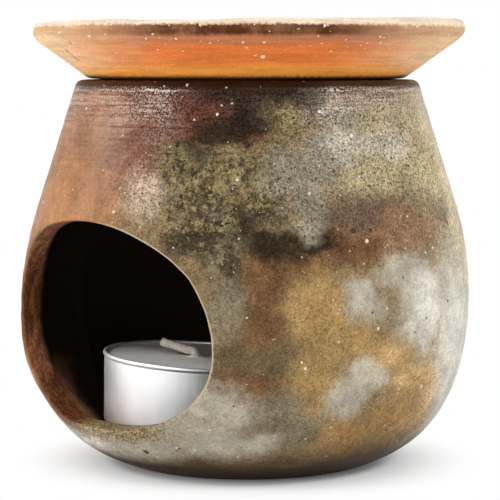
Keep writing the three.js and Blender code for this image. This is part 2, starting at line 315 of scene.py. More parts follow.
def buildPot():
    outer, inner = potCurves()
    n, half, ringCount = pot["columns"], pot["patchColumns"], pot["patchRings"]
    sill, top = pot["openMiddle"] - pot["openDrop"], pot["openMiddle"] + pot["openRise"]
    low = int(np.searchsorted(inner[:, 1], sill - pot["patchBelow"]))
    high = int(np.searchsorted(inner[:, 1], top + pot["patchAbove"]))
    points, faces, cutMask, inMask, edgeMask = [], [], [], [], []

    def keep(batch, cut, inside, edge=0.0):  # stores points and gives their numbers
        first = len(points)
        points.extend(batch)
        for mask, value in ((cutMask, cut), (inMask, inside), (edgeMask, edge)):
            mask.extend([value] * len(batch))
        return list(range(first, first + len(batch)))

    angles = np.arange(n) / n * 2 * math.pi
    angles = np.where(angles > math.pi, angles - 2 * math.pi, angles)

    def hoop(radius, z, inside):  # one level ring of points
        return keep(wallPoint(np.array([[radius, z]] * 2), angles, np.zeros(n)), 0.0, inside)

    walls = []
    for curve, inside in ((outer, 0.0), (inner, 1.0)):
        rows = [keep(wallPoint(curve, angles, np.full(n, float(i))), 0.0, inside) for i in range(len(curve))]
        for i, (a, b) in enumerate(zip(rows, rows[1:])):
            for j in range(n):
                k = (j + 1) % n
                front = (j < half) or (j >= n - half)
                if not (front and low <= i < high):
                    faces.append([a[j], a[k], b[k], b[j]])
        walls.append(rows)

    # the loop of grid points round the opening, and the rings that close in on its edge
    loop = [(low, j) for j in range(-half, half)] + [(i, half) for i in range(low, high)]
    loop += [(high, j) for j in range(half, -half, -1)] + [(i, -half) for i in range(high, low, -1)]
    loopRow = np.array([i for i, j in loop], dtype=float)
    loopAngle = np.array([j for i, j in loop]) / n * 2 * math.pi
    dense = np.linspace(-math.pi, math.pi, pot["edgeSamples"])
    rowLength = np.hypot(*(outer[1] - outer[0]))
    edgeAngle, edgeRow = edgeOn(outer, dense, 0)
    middle = np.interp(pot["openMiddle"], outer[:, 1], np.arange(len(outer)))
    toEdge = np.unwrap(np.arctan2((edgeRow - middle) * rowLength, edgeAngle * pot["bellyRadius"]))
    toLoop = np.arctan2((loopRow - middle) * rowLength, loopAngle * pot["bellyRadius"])
    toLoop = (toLoop - toEdge[0]) % (2 * math.pi) + toEdge[0]
    t = np.interp(toLoop, toEdge, dense)

    # the edge is crisp at the upper right of the opening and soft on the far side and the sill
    soft = (0.5 - 0.5 * np.cos(t - math.radians(pot["softFrom"]))) ** pot["softPower"]
    rho = pot["edgeRound"] + (pot["softEdgeRound"] - pot["edgeRound"]) * soft
    degrees = (np.degrees(t) + 180) % 360 - 180
    grow = pot["softGrow"] * soft * (np.cos(t) < 0) * np.abs(np.cos(t))
    grow += np.interp(degrees, *zip(*pot["spread"]))  # cut a little wider at the upper right and lower left
    square = np.interp(degrees, *zip(*pot["square"]))  # how far the cut turns square to the wall

    def edgePlace(inside, out):  # angle and row of the opening's edge on the outer or inner wall
        angle, row = edgeOn(outer, t, grow + out)
        if inside:
            plainAngle, plainRow = edgeOn(inner, t, grow + out)
            angle, row = plainAngle + (angle - plainAngle) * square, plainRow + (row - plainRow) * square
        return angle, row

    weights = np.linspace(0, 1, ringCount + 1) ** pot["ringCrowding"]
    sides = []
    for curve, rows, inside in ((outer, walls[0], 0.0), (inner, walls[1], 1.0)):
        startAngle, startRow = edgePlace(inside, pot["innerRound"] if inside else 0)
        laid = [[rows[i][j % n] for i, j in loop]]
        for w in weights[-2::-1]:
            at = wallPoint(curve, startAngle + (loopAngle - startAngle) * w, startRow + (loopRow - startRow) * w)
            laid.append(keep(at, 0.0, inside))
        sides.append(laid)
    cornerOut, cornerIn = wallPoint(outer, *edgePlace(0, -rho)), wallPoint(inner, *edgePlace(1, 0))
    across = cornerIn - cornerOut
    across /= np.linalg.norm(across, axis=1)[:, None]
    startOut, startIn = [np.array([points[v] for v in laid[-1]]) for laid in sides]
    cutOut, cutIn = cornerOut + across * rho[:, None], cornerIn - across * pot["innerRound"]
    shares, deep = np.linspace(0, 1, pot["roundRows"] + 1)[1:], pot["cutInside"]
    between = []
    for s in shares:
        at = (1 - s) ** 2 * startOut + 2 * s * (1 - s) * cornerOut + s * s * cutOut
        between.append(keep(at, s, 0.0, math.sin(math.pi * 0.85 * s)))
    for s in np.linspace(0, 1, pot["cutRows"] + 1)[1:]:
        between.append(keep(cutOut + (cutIn - cutOut) * s, 1.0, s * deep))
    for s in shares[:-1]:
        at = (1 - s) ** 2 * cutIn + 2 * s * (1 - s) * cornerIn + s * s * startIn
        between.append(keep(at, 1.0, deep + s * (1 - deep)))
    faces += strips(sides[0] + between + sides[1][::-1])

    # rim, base and inner floor
    mouth, flat, r, top = mouthRadius(inner), pot["rimRound"], pot["rimRadius"], pot["rimHeight"]
    rimLine = np.vstack([bend(outer[-1], (r, top), (r - flat, top), 7)[1:],
                         [((r + mouth) / 2, top)],
                         bend((mouth + flat, top), (mouth, top), inner[-1], 9)[:-1]])
    rim = [hoop(radius, z, 0.6 * q / len(rimLine)) for q, (radius, z) in enumerate(rimLine)]
    faces += strips([walls[0][-1]] + rim + [walls[1][-1]])
    under = [walls[0][0]] + [hoop(s * outer[0, 0], 0, 0.0) for s in pot["baseRings"]]
    floor = [walls[1][0]] + [hoop(s * inner[0, 0], inner[0, 1] - pot["floorDip"] * (1 - s), 1.0)
                             for s in pot["floorRings"]]
    for rings in (under, floor):
        faces += strips(rings) + [rings[-1]]

    # hand-made unevenness: slow wobble, throwing rings, and the flared lip on one side of the opening
    points = np.array(points)
    height, reach = points[:, 2], np.hypot(points[:, 0], points[:, 1])
    away = points[:, :2] / np.maximum(reach, 1e-6)[:, None]
    body = np.clip(height / 6, 0, 1) * np.clip((pot["rimHeight"] + 2 - height) / 8, 0, 1)
    push = wander(points, 26, pot["wobble"], 1) + wander(points, 9, pot["wobble"] * 0.3, 2)
    ringWave = np.sin(height / pot["ringPitch"] * 2 * math.pi + wander(points, 30, 2.0, 3))
    push += ringWave * pot["ringDepth"] * (1 + np.array(inMask))
    edgeSide = np.exp(-((points[:, 0] + pot["openWide"] + 1) / pot["flareWide"]) ** 2)
    edgeSide *= points[:, 1] < pot["flareDepth"]
    push += pot["flare"] * edgeSide * np.exp(-((height - pot["flareHeight"]) / pot["flareTall"]) ** 2)
    points[:, :2] += away * (push * body)[:, None]
    used = sorted({v for face in faces for v in face})
    renumber = {v: i for i, v in enumerate(used)}
    faces = [[renumber[v] for v in face] for face in faces]
    masks = {"cutFace": cutMask, "inside": inMask, "edgeLine": edgeMask}
    masks = {key: np.array(values)[used] for key, values in masks.items()}
    addMesh("potWall", points[used] * mm, faces, potFinish(), "burner", "burner_body", masks)


def layer(tone, soft, loose, cover, at):  # one kind of kiln mark: soft edge, ragged edge, strength and places
    return {"colour": paint(*tone), "soft": soft, "loose": loose, "cover": cover, "at": at}


# kiln marks on the pot in the order they lie, some of them with painted highlights, glare and shadow as noted, each
# with its angle from the camera side, height in millimetres, half width in degrees and half height in millimetres; a
# pair is where a soft threshold starts and ends, and a row of four is the spacing, radius, chance and seed of scattered
# dots
kiln = {
    "fold": 95, "reach": 0.95, "grooves": [(74.2, 0.5), (72.4, 0.4), (68.3, 0.8)], "streak": (0.035, 0.035, 1.0),
    # paleAndGlare: the right side's pale ash, made paler as painted glare
    "clay": paint(176, 128, 88), "middle": paint(132, 113, 84), "paleAndGlare": paint(206, 194, 162),
    "blush": layer((152, 113, 94), 0.8, 0.3, 0.75, [
        (-64, 70, 24, 9), (-84, 56, 12, 22), (-44, 60, 9, 9)]),
    # hazeHighlight: pale patch on the left shoulder, a painted highlight
    "hazeHighlight": layer((186, 158, 142), 1.0, 0.4, 0.55, [(-42, 66.5, 7, 5)]),
    "mauve": layer((124, 84, 74), 0.7, 0.5, 0.85, [
        (-33, 66, 8, 8), (-29, 62, 8, 5), (-34, 74, 10, 5), (-26, 70, 10, 8), (-95, 62, 10, 7), (-97, 40, 7, 9)]),
    "maroon": layer((88, 44, 33), 0.7, 0.5, 0.92, [
        (-13, 71, 12, 6.5), (-2, 70, 9, 6), (-20, 75, 9, 3.8)]),
    # emberAndDishShadow: dark glaze under the dish, darkened further as the dish's painted shadow
    "emberAndDishShadow": layer((24, 11, 7), 0.6, 0.5, 0.9, [
        (-4, 75, 11, 3.2), (9, 75.2, 14, 3.2), (-1, 70.5, 5, 3.5)]),
    "plum": layer((100, 81, 67), 0.55, 0.5, 0.9, [
        (28, 49, 12, 5), (30, 54, 7, 3), (42, 53.5, 12, 3.2), (55, 55, 9, 2.8), (22, 47.5, 10, 3), (33, 56, 4, 2.2),
        (62, 52, 6, 3.5)]),
    "sienna": layer((152, 118, 93), 0.8, 0.3, 0.75, [
        (48, 50.3, 12, 2.6), (38, 47.5, 14, 2.5)]),
    "rust": layer((110, 79, 53), 0.55, 0.5, 0.88, [
        (4, 40, 7, 7), (3, 33, 8, 5), (-1, 21.5, 9, 3.5), (7, 20.5, 6, 2.5), (14, 44.5, 10, 3.2), (28, 46.5, 10, 3),
        (-94, 28, 9, 8)]),
    "ochre": layer((171, 142, 91), 0.6, 0.45, 0.88, [
        (16, 35.5, 7, 7.5), (24, 28, 12, 4), (36, 27, 9, 3.5), (16, 21, 7, 8), (21, 33, 5, 5)]),
    "orange": layer((194, 163, 115), 0.6, 0.45, 0.85, [
        (45, 21, 10, 5), (55, 18, 8, 6), (38, 26.5, 5, 3), (54, 12, 8, 3)]),
    "amber": layer((166, 133, 86), 0.7, 0.5, 0.8, [
        (42, 12.5, 9, 4), (28, 11, 10, 4)]),
    "smudge": layer((98, 85, 62), 0.8, 0.4, 0.85, [
        (4, 26.3, 10, 3.2), (-4, 28, 5, 2.2)]),
    "umber": layer((40, 33, 23), 0.5, 1.1, 0.92, [
        (3, 69.8, 8, 3.8), (5, 47, 9, 3.5), (-3, 51, 7, 5), (-7, 66.5, 8, 3.2), (17, 47.5, 7, 2.4), (-17, 63.5, 6, 2.5),
        (-14, 47, 7, 3), (15, 74, 9, 3.6)]),
    "olive": layer((128, 117, 82), 0.5, 1.2, 0.85, [
        (-4, 60.3, 8, 3.4), (-13, 56, 10, 7), (-20, 60, 6, 5), (8, 64.5, 5, 2.4), (-6, 43, 5, 4.5), (-11, 50, 9, 5),
        (11, 69.8, 7, 3.2), (5, 54.5, 6, 4)]),
    "khaki": layer((187, 175, 139), 0.6, 0.8, 0.88, [
        (40, 60, 17, 5), (56, 63, 12, 9), (46, 70, 20, 4), (62, 58, 8, 6)]),
    # steelHighlight: grey band under the right rim, grey glaze with a painted highlight
    "steelHighlight": layer((134, 122, 104), 0.8, 0.6, 0.7, [(38, 74.5, 16, 2.5)]),
    "ash": layer((143, 138, 121), 0.55, 0.7, 0.88, [
        (11, 59.5, 8, 4), (16, 54.5, 5.5, 4.5), (21, 62, 8, 4.5), (15, 50.5, 4.5, 2.6), (25, 65, 7, 4),
        (30, 70.5, 8, 3)]),
    "lead": layer((124, 116, 97), 0.6, 0.5, 0.85, [
        (-5, 35, 5, 5), (8, 16.5, 8, 4), (13, 12.5, 8, 4)]),
    "pallor": layer((184, 179, 162), 0.5, 0.5, 0.92, [
        (30, 65, 9, 3), (44, 64.8, 12, 3.4), (29.5, 36.2, 6, 4), (44, 41, 9, 3.5), (25.5, 18.5, 6, 4.5),
        (31, 22, 6, 3.5), (48, 35, 9, 9), (62, 33, 10, 12), (70, 22, 10, 14), (-8, 16.5, 10, 4.5), (-10, 10, 14, 4),
        (-20, 12.5, 10, 3), (3, 9, 6, 3), (-34, 8, 16, 3.5), (-58, 8.5, 16, 3.5), (-46, 6, 22, 3), (-95, 14, 8, 5)]),
    "chalk": layer((196, 176, 156), 0.6, 1.2, 0.85, [(-29, 56, 6, 4.5)]),
    # bloomAndGlare: pale ash bloom, made brighter at the lower right as painted glare
    "bloomAndGlare": layer((230, 228, 219), 0.7, 0.5, 0.85, [
        (50, 34, 6, 6), (66, 27, 10, 13), (74, 22, 10, 14), (-58, 8.5, 14, 2.6)]),
    # cutHighlight: the cut face's lighter top, a painted highlight; edge: pale line painted as a highlight on the
    # rounded edge
    "crust": paint(70, 61, 48), "gold": paint(152, 141, 102), "cut": paint(106, 66, 43), "cutHighlight": paint(160, 112, 88),
    "sill": paint(164, 142, 102), "bare": paint(186, 124, 84), "edge": paint(196, 178, 150), "soot": paint(46, 36, 27),
    # rim: dark rim clay with the dish's shadow painted in; foot: dark foot clay with painted contact shade
    "speck": paint(238, 228, 208), "pit": paint(24, 20, 16), "foot": paint(46, 24, 4), "rim": paint(46, 24, 14),
    # frostHighlight: pale flecks painted as highlights on the shoulder
    "frostHighlight": paint(214, 192, 172),
    "clayEnd": (-44, -28), "paleGlareStart": (48, 74), "crustLevel": (40, 54), "crustSide": (-0.72, -0.45),
    "turnedLevel": (54, 66), "turnedSide": (0.2, -0.5), "highlightZone": (67, 74), "rimShadowLevel": (73.9, 75.9),
    "belowRim": (76.2, 75.3), "sillLevel": (11, 17), "cutHighlightLevel": (36, 50), "rightFoot": (8.6, 1.4),
    "leftFoot": (6.2, 2.6), "glintLevel": (65, 74),
    "pepper": (0.8, 0.19, 0.6, 17.0), "fineSpeck": (1.3, 0.17, 0.34, 7.0), "midSpeck": (2.7, 0.28, 0.4, 3.0),
    "bigSpeck": (7, 0.38, 0.4, 11.0), "pinhole": (2.6, 0.24, 0.3, 23.0), "burst": (9.0, 0.65, 0.3, 41.0),
    "pock": (4.0, 0.42, 0.4, 29.0),
}


def potFinish():
    f = newFinish("woodFiredStoneware")
    at = f.place()
    x, y, z = f.parts(at)
    turn = f.bearing(x, y)
    size, fold = abs(turn), math.radians(kiln["fold"])
    folded = size & (fold - (size - fold) * (fold / (math.pi - fold)))  # the back takes the front's marks, turned over
    arc = turn.maths("SIGN", turn) * folded * pot["bellyRadius"]
    flat = f.node("ShaderNodeCombineXYZ", None, {0: arc, 1: z})
    flat = f.drift(f.drift(flat, f.grain(at, 8, 3, 0.6, 1), 8), f.grain(at, 1.8, 2, 0.6, 1), 2.6)
    coarse, patch = f.grain(at, 3.2, 4, 0.65), f.grain(at, 1.3, 4, 0.7)
    fine, dust = f.grain(at, 0.8, 3, 0.7), f.grain(at, 0.33, 2, 0.7)
    sway, stir = coarse - 0.5, fine - 0.5
    astray = turn + sway * 0.4
    high = f.step(z + sway * 16, *kiln["crustLevel"]) * f.step(astray, *kiln["crustSide"])  # crusty zone
    torn = (sway * 0.9 + (patch - 0.5) * 0.9) * (0.6 + 0.4 * high)

    def cover(mark):  # how fully one kind of mark lies here
        spots = []
        for angle, height, halfTurn, tall in mark["at"]:
            wide, middle = math.radians(halfTurn) * pot["bellyRadius"], math.radians(angle) * pot["bellyRadius"]
            offset = f.vector("MULTIPLY_ADD", flat, (1 / wide, 1 / tall, 0), (-middle / wide, -height / tall, 0))
            spots.append(f.vector("LENGTH", offset, out=1))
        edge = reduce(and_, spots) + torn * mark["loose"]
        return f.step(edge, kiln["reach"] + mark["soft"], kiln["reach"] - mark["soft"]) * mark["cover"]

    colour = f.fade(astray, *map(math.radians, kiln["clayEnd"]), kiln["clay"], kiln["middle"])
    # paler toward the right side: pale ash with painted glare
    colour = f.fade(astray, *map(math.radians, kiln["paleGlareStart"]), colour, kiln["paleAndGlare"])
    clump = patch * 0.4 + f.grain(at, 2.6, 5, 0.72) * 0.6
    lichen = f.fade(clump - (62 - z) * 0.006, 0.51, 0.41, kiln["olive"]["colour"], kiln["crust"])
    lichen = f.mix(f.step(clump, 0.52, 0.62) * 0.75, lichen, kiln["gold"])
    lichen = f.mix(f.step(f.grain(at, 3.9, 3, 0.6), 0.5, 0.62) * 0.65, lichen, kiln["lead"]["colour"])
    masks = {name: cover(mark) for name, mark in kiln.items() if isinstance(mark, dict)}
    for name, mask in masks.items():
        colour = f.mix(mask, colour, lichen if name == "olive" else kiln[name]["colour"])

    # grains: soft mottling, salt and pepper, turning marks, grooves, the dark rim band with the dish's painted shadow,
    # pale flecks painted as highlights on the shoulder, pale feldspar and pinholes
    crust = masks["olive"] | masks["khaki"] | masks["chalk"]
    colour = f.shade(colour, f.fade(f.grain(at, 5, 4, 0.65), 0.32, 0.7, (0.8, 0.78, 0.77), (1.16, 1.14, 1.12)))
    salted = f.fade(dust * 0.6 + fine * 0.4, 0.39, 0.61, (0.42, 0.41, 0.4), (1.55, 1.52, 1.48))
    smooth = f.step(turn, -0.55, -0.85) | masks["pallor"] * (1 - high)
    colour = f.shade(colour, salted, (0.6 - 0.34 * smooth) + (0.26 + 0.14 * crust) * high)
    streak = f.grain(f.vector("MULTIPLY", at, kiln["streak"]), 0.45, 3, 0.7)
    turned = f.step(z, *kiln["turnedLevel"]) * f.step(turn, *kiln["turnedSide"])
    turned = turned * f.step(f.grain(at, 9), 0.3, 0.55)
    rings = f.fade(streak, 0.36, 0.56, (0.74, 0.71, 0.69), (1.08, 1.08, 1.08))
    colour = f.shade(colour, rings, turned * 0.7 + 0.12)
    groove = reduce(or_, [f.step(abs(z - height + sway * 0.25), 0.2, 0.06) * depth
                          for height, depth in kiln["grooves"]])
    groove = groove * f.step(astray, -1.0, -0.75) * f.step(astray, -0.1, -0.35) * f.step(f.grain(at, 7), 0.26, 0.44)
    colour = f.mix(groove * 0.6, colour, kiln["pit"])
    # dark band just under the rim: dark rim clay with the dish's shadow painted in
    colour = f.mix(f.step(z + sway * 1.6, *kiln["rimShadowLevel"]) * 0.9, colour, kiln["rim"])
    loose = f.drift(at, f.grain(at, 0.6, 2, 0.6, 1), 0.5)
    # pale flecks on the shoulder toward both sides: painted highlights
    highlightZone = f.step(z + sway * 5, *kiln["highlightZone"]) * f.step(size + sway * 0.4, 0.34, 0.56, (0.04, 1.0))
    highlightZone = highlightZone * f.step(turn, -1.1, -0.8, (0.35, 1.0))
    belowRim = f.step(z, *kiln["belowRim"])
    frostHighlight = highlightZone * belowRim * f.step(dust * 0.6 + streak * 0.4, 0.44, 0.57)
    pepper = f.dots(loose, *kiln["pepper"]) * (0.24 + 0.7 * (high & (crust | masks["ash"] | masks["pallor"])))
    specks = f.dots(loose, *kiln["fineSpeck"]) * 0.7 | f.dots(loose, *kiln["midSpeck"])
    specks = specks | f.dots(loose, *kiln["bigSpeck"])
    pits = f.dots(loose, *kiln["pinhole"]) | f.dots(loose, *kiln["burst"])
    pits = pits | f.dots(loose, *kiln["pock"]) * high * (1 - turned)
    for mask, tone in ((frostHighlight * 0.75, "frostHighlight"), (pepper, "pit"), (pits * 0.85, "pit"), (specks * 0.85, "speck")):
        colour = f.mix(mask, colour, kiln[tone])

    # the opening's cut face with a painted highlight toward its top, its worn edge, a painted highlight along the
    # rounded edge, the sooty inside and the dark foot with painted contact shade
    cut, inside, edge = [f.node("ShaderNodeAttribute", {"attribute_name": key}, None, 2)
                         for key in ("cutFace", "inside", "edgeLine")]
    sill = (1 - f.step(z + sway * 7 - x * 0.12, *kiln["sillLevel"])) * f.step(x + sway * 9, -10, -1)
    above = z - pot["openMiddle"]
    around = x.maths("ARCTAN2", above, x) * 3
    ring = f.node("ShaderNodeCombineXYZ", None, {0: (x * x + above * above) ** 0.5, 1: y, 2: around})
    tool = f.grain(ring, 0.8, 3, 0.6)  # marks of the cutting tool run along the edge
    # the cut face lighter toward its top: painted highlight
    cutTone = f.mix(f.step(z + sway * 8, *kiln["cutHighlightLevel"]) * 0.8, kiln["cut"], kiln["cutHighlight"])
    cutTone = f.mix(sill, cutTone, f.fade(f.grain(at, 0.55, 3, 0.75), 0.4, 0.54, kiln["crust"], kiln["sill"]))
    scored = f.fade(tool, 0.35, 0.65, (0.55, 0.53, 0.5), (1.3, 1.28, 1.24))
    cutTone = f.shade(f.shade(cutTone, salted, 0.7), scored, 1 - sill * 0.9)
    colour = f.mix(f.step(cut + stir * 0.6, 0.25, 0.8), colour, cutTone)
    flank, drop = abs(x) / pot["openWide"], (pot["openMiddle"] - z) / pot["openDrop"]
    beyond = flank ** pot["lowPower"] + (drop | 0) ** pot["lowPower"]  # 1 along the lower edge of the opening
    worn = f.step(beyond + stir * 0.5 + (dust - 0.5) * 0.4, 1.42, 1.0) * f.step(drop, 0.5, 0.85)
    worn = worn * f.step(y, -12, -20) * f.step(x, 24, 13)
    colour = f.mix(worn * (1 - inside) * 0.85, colour, cutTone)
    # pale line along the rounded edge on the right of the opening: painted highlight
    edgeHighlight = f.step(x + sway * 8, 3, 13) * f.step(z, 13, 20)
    colour = f.mix(f.step(edge + stir * 0.5, 0.3, 0.8) * edgeHighlight * 0.85, colour, kiln["edge"])
    bare = f.step(beyond + sway * 0.4, 1.9, 1.2) * f.step(x + sway * 6, 2, -8)
    bare = bare * f.step(y, -10, -18) * f.step(drop, 0.4, 0.75)
    soot = f.step(inside - sill * 0.2 + sway * 0.2, 0.16, 0.5) * (1 - 0.92 * bare)
    colour = f.mix(bare * f.step(inside, 0.3, 0.9), colour, f.fade(tool, 0.4, 0.6, kiln["cut"], kiln["bare"]))
    colour = f.mix(soot, colour, kiln["soot"])
    left = f.step(turn, -0.25, -0.7)
    # dark foot clay, with the contact shade near the floor painted in
    darkFootAndShade = f.step(z - size * 1.4 + sway * 3, *kiln["rightFoot"]) * (1 - left)
    darkFootAndShade = darkFootAndShade + f.step(z + sway * 2.4, *kiln["leftFoot"]) * left
    colour = f.mix(darkFootAndShade * 0.95, colour, kiln["foot"])

    rough = 0.35 + 1.5 * high * (crust | masks["umber"] | masks["ash"] | masks["maroon"] | masks["mauve"])
    relief = (fine * 0.7 + dust * 0.6) * rough + coarse * 0.9 + patch * crust * 0.8 + streak * (turned * 0.5 + 0.06)
    relief = relief + specks * 0.5 + frostHighlight * 0.5 - pits * 1.4 - pepper * 0.6 - groove * 0.8
    dull = (masks["lead"] | masks["pallor"]) * (1 - high)
    sheen = f.step(coarse * 0.6 + fine * 0.4, 0.3, 0.7, (0.3, 0.46)) + dull * 0.16 + inside * 0.25
    glint = f.step(z + sway * 6, *kiln["glintLevel"], (0.14, 0.9)) * f.step(dust * 0.65 + streak * 0.35, 0.45, 0.6)
    glint = glint * f.step(z, 40, 56) * belowRim * (1 - 0.85 * (masks["emberAndDishShadow"] | masks["umber"]))
    return f.surface(Base_Color=colour, Roughness=sheen, Normal=f.bump(relief, 0.75, 0.35 * mm),
                     Specular_IOR_Level=0.025, Coat_Weight=glint, Coat_Roughness=0.2)


# the loose dish, in millimetres; pairs and rows of four as above, and the crack's ends by angle and height
dish = {
    "radius": 43.2, "height": 11.3, "baseRadius": 31.6, "edgeRound": 1.0, "lipHeight": 8.4, "lipRound": 1.6,
    "wall": 3.2, "floor": 3.6, "floorRadius": 24.0,
    "footDepth": 2.4, "footWidth": 3.6, "footTaper": 0.6, "footClearance": 0.8,
    "columns": 320, "tilt": 0.45, "baseAside": -0.25, "lipAside": 0.65, "waver": 0.2, "fold": 2.9,
    "orange": paint(236, 130, 64), "gold": paint(255, 172, 76), "pink": paint(244, 210, 166),
    "mauve": paint(186, 126, 94), "burnt": paint(84, 40, 14), "lip": paint(236, 220, 198), "grey": paint(176, 132, 100),
    "well": paint(150, 100, 66), "wellAsh": paint(170, 146, 108), "speck": paint(252, 232, 200),
    # edge: the dark line at the dish's underside edge, a painted shadow
    "pit": paint(60, 36, 24), "edge": paint(60, 30, 12),
    "mauveLevel": (5.4, 8.0), "pinkSide": (0.3, 1.35), "goldLevel": (4.2, 0.6), "frontSide": (0.85, 0.35),
    "bandFoot": (7.7, 8.8), "bandTop": (10.75, 9.95), "lipLevel": (9.95, 10.6), "edgeShadowLevel": (0.95, 0.2),
    "crack": (-62.3, 5.8, -62.9, 3.2), "flow": (0.06, 0.06, 1.0), "turningPitch": 1.1,
    "crowdSpeck": (1.4, 0.26, 0.6, 5.0), "midSpeck": (2.6, 0.24, 0.3, 9.0), "bigSpeck": (4.2, 0.42, 0.35, 15.0),
    "pinhole": (2.6, 0.2, 0.25, 27.0), "burst": (7.0, 0.4, 0.2, 33.0),
}


def dishSeat():  # height of the dish's underside, above its foot ring
    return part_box("tea_dish")[0][2] / mm + dish["footDepth"]


def buildDish():
    footOut = mouthRadius(potCurves()[1]) - dish["footClearance"]
    footIn = footOut - dish["footWidth"]
    r, lip, base, edge, high = dish["radius"], dish["lipHeight"], dish["baseRadius"], dish["edgeRound"], dish["height"]
    slope = np.array([r - base, lip]) / np.hypot(r - base, lip)
    lipIn = np.array([r, lip]) + np.array([-slope[1], slope[0]]) * dish["wall"]
    lipStart = lipIn - slope * edge
    lipTop = ((r + lipIn[0]) / 2, high)
    wallStart = np.array([base, 0]) + slope * edge
    cornerLow, cornerHigh = np.array([r, lip]) - slope * dish["lipRound"] * 1.3, (r, lip + dish["lipRound"] * 0.7)
    taper, deep = dish["footTaper"], dish["footDepth"]
    foot = [(0, 0), (footIn * 0.5, 0), (footIn - 0.4, 0), (footIn, -0.2), (footIn + taper * 0.8, -deep + 0.4),
            (footIn + taper * 1.6, -deep), (footOut - taper * 1.6, -deep), (footOut - taper * 0.8, -deep + 0.4),
            (footOut, -0.2), (footOut + 0.4, 0)]
    outside = np.vstack([
        foot, bend((base - edge, 0), (base, 0), wallStart, 8), straight(wallStart, cornerLow, 24)[1:],
        bend(cornerLow, (r, lip), cornerHigh, 8)[1:], bend(cornerHigh, (r, high), lipTop, 12)[1:]])
    floorEdge = (dish["floorRadius"], dish["floor"])
    hollow = np.vstack([
        bend(lipTop, (lipIn[0], high), lipStart, 10)[1:],
        bend(lipStart, (dish["floorRadius"] + dish["wall"], dish["floor"]), floorEdge, 30)[1:],
        straight(floorEdge, (0, dish["floor"]), 14)[1:]])
    points, rows = spun(np.vstack([outside, hollow]), dish["columns"])
    well = np.concatenate([[0.0 if i < len(outside) + 4 else 1.0] * len(set(row)) for i, row in enumerate(rows)])

    # uneven lip and well, tilted and shifted a little toward one side
    reach = np.hypot(points[:, 0], points[:, 1])
    lift = np.clip((reach - base) / (r - base), 0, 1)
    turn = math.radians(pot["faces"])
    right = np.array([math.cos(turn), math.sin(turn)])
    sideways = points[:, :2] @ right
    points[:, 2] += lift * (sideways / r * dish["tilt"] + wander(points, 22, dish["waver"] * 2, 5))
    points[:, 2] += np.where(points[:, 2] > lip + 1, wander(points, 4, dish["waver"], 12), 0)
    points[:, :2] *= (1 + lift * wander(points, 25, 0.006, 6) + lift * wander(points, 5, 0.003, 13))[:, None]
    points[:, 2] += np.where((well > 0.5) & (reach < base - 2), wander(points, 14, 0.25, 7), 0)
    points[:, :2] += right * (dish["baseAside"] + lift * dish["lipAside"])[:, None]
    points[:, 2] += dishSeat()
    addMesh("teaDish", points * mm, strips(rows), dishFinish(), "dish", "tea_dish", {"well": well})


